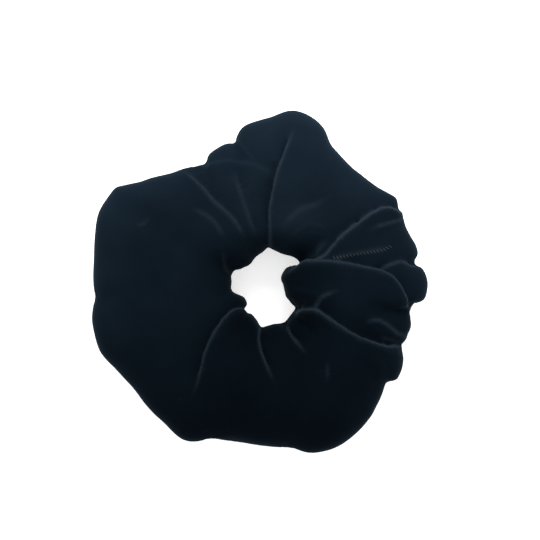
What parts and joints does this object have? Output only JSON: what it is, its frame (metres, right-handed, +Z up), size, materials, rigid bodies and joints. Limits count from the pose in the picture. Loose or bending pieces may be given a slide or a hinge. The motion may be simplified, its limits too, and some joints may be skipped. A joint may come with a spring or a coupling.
{
  "type": "scrunchie",
  "caption": "Gathered velvet hair scrunchie: a puffy fabric ring with deep radial folds on a loop of flat elastic.",
  "frame": {"origin": "middle of the base, on the surface that the scrunchie lies on", "axes": "+Z up through the ring, along the hair opening; +X to the right and +Y away, with the scrunchie seen from above; the pulled half moves along +X and +Y at 45 degrees"},
  "size_m": [0.1194, 0.1212, 0.0276],
  "materials": {
    "velvet": "matte",
    "elastic": "matte",
    "thread": "matte"
  },
  "bodies": {
    "held_side": {"sleeve_held_half": "velvet", "elastic_held_half": "elastic", "seam_needle_thread_held_half": "thread", "seam_bobbin_thread_held_half": "thread"},
    "pulled_side": {"sleeve_pulled_half": "velvet", "elastic_inner_end": "elastic", "elastic_outer_end": "elastic", "seam_needle_thread_pulled_half": "thread", "seam_bobbin_thread_pulled_half": "thread", "closing_seam_thread": "thread", "elastic_join_thread": "thread"}
  },
  "joints": [
    {"name": "stretch", "type": "slide", "parent": "held_side", "child": "pulled_side", "axis": [0.7071, 0.7071, 0], "range_m": [0, 0.055], "stiffness_N_per_m": 150}
  ]
}
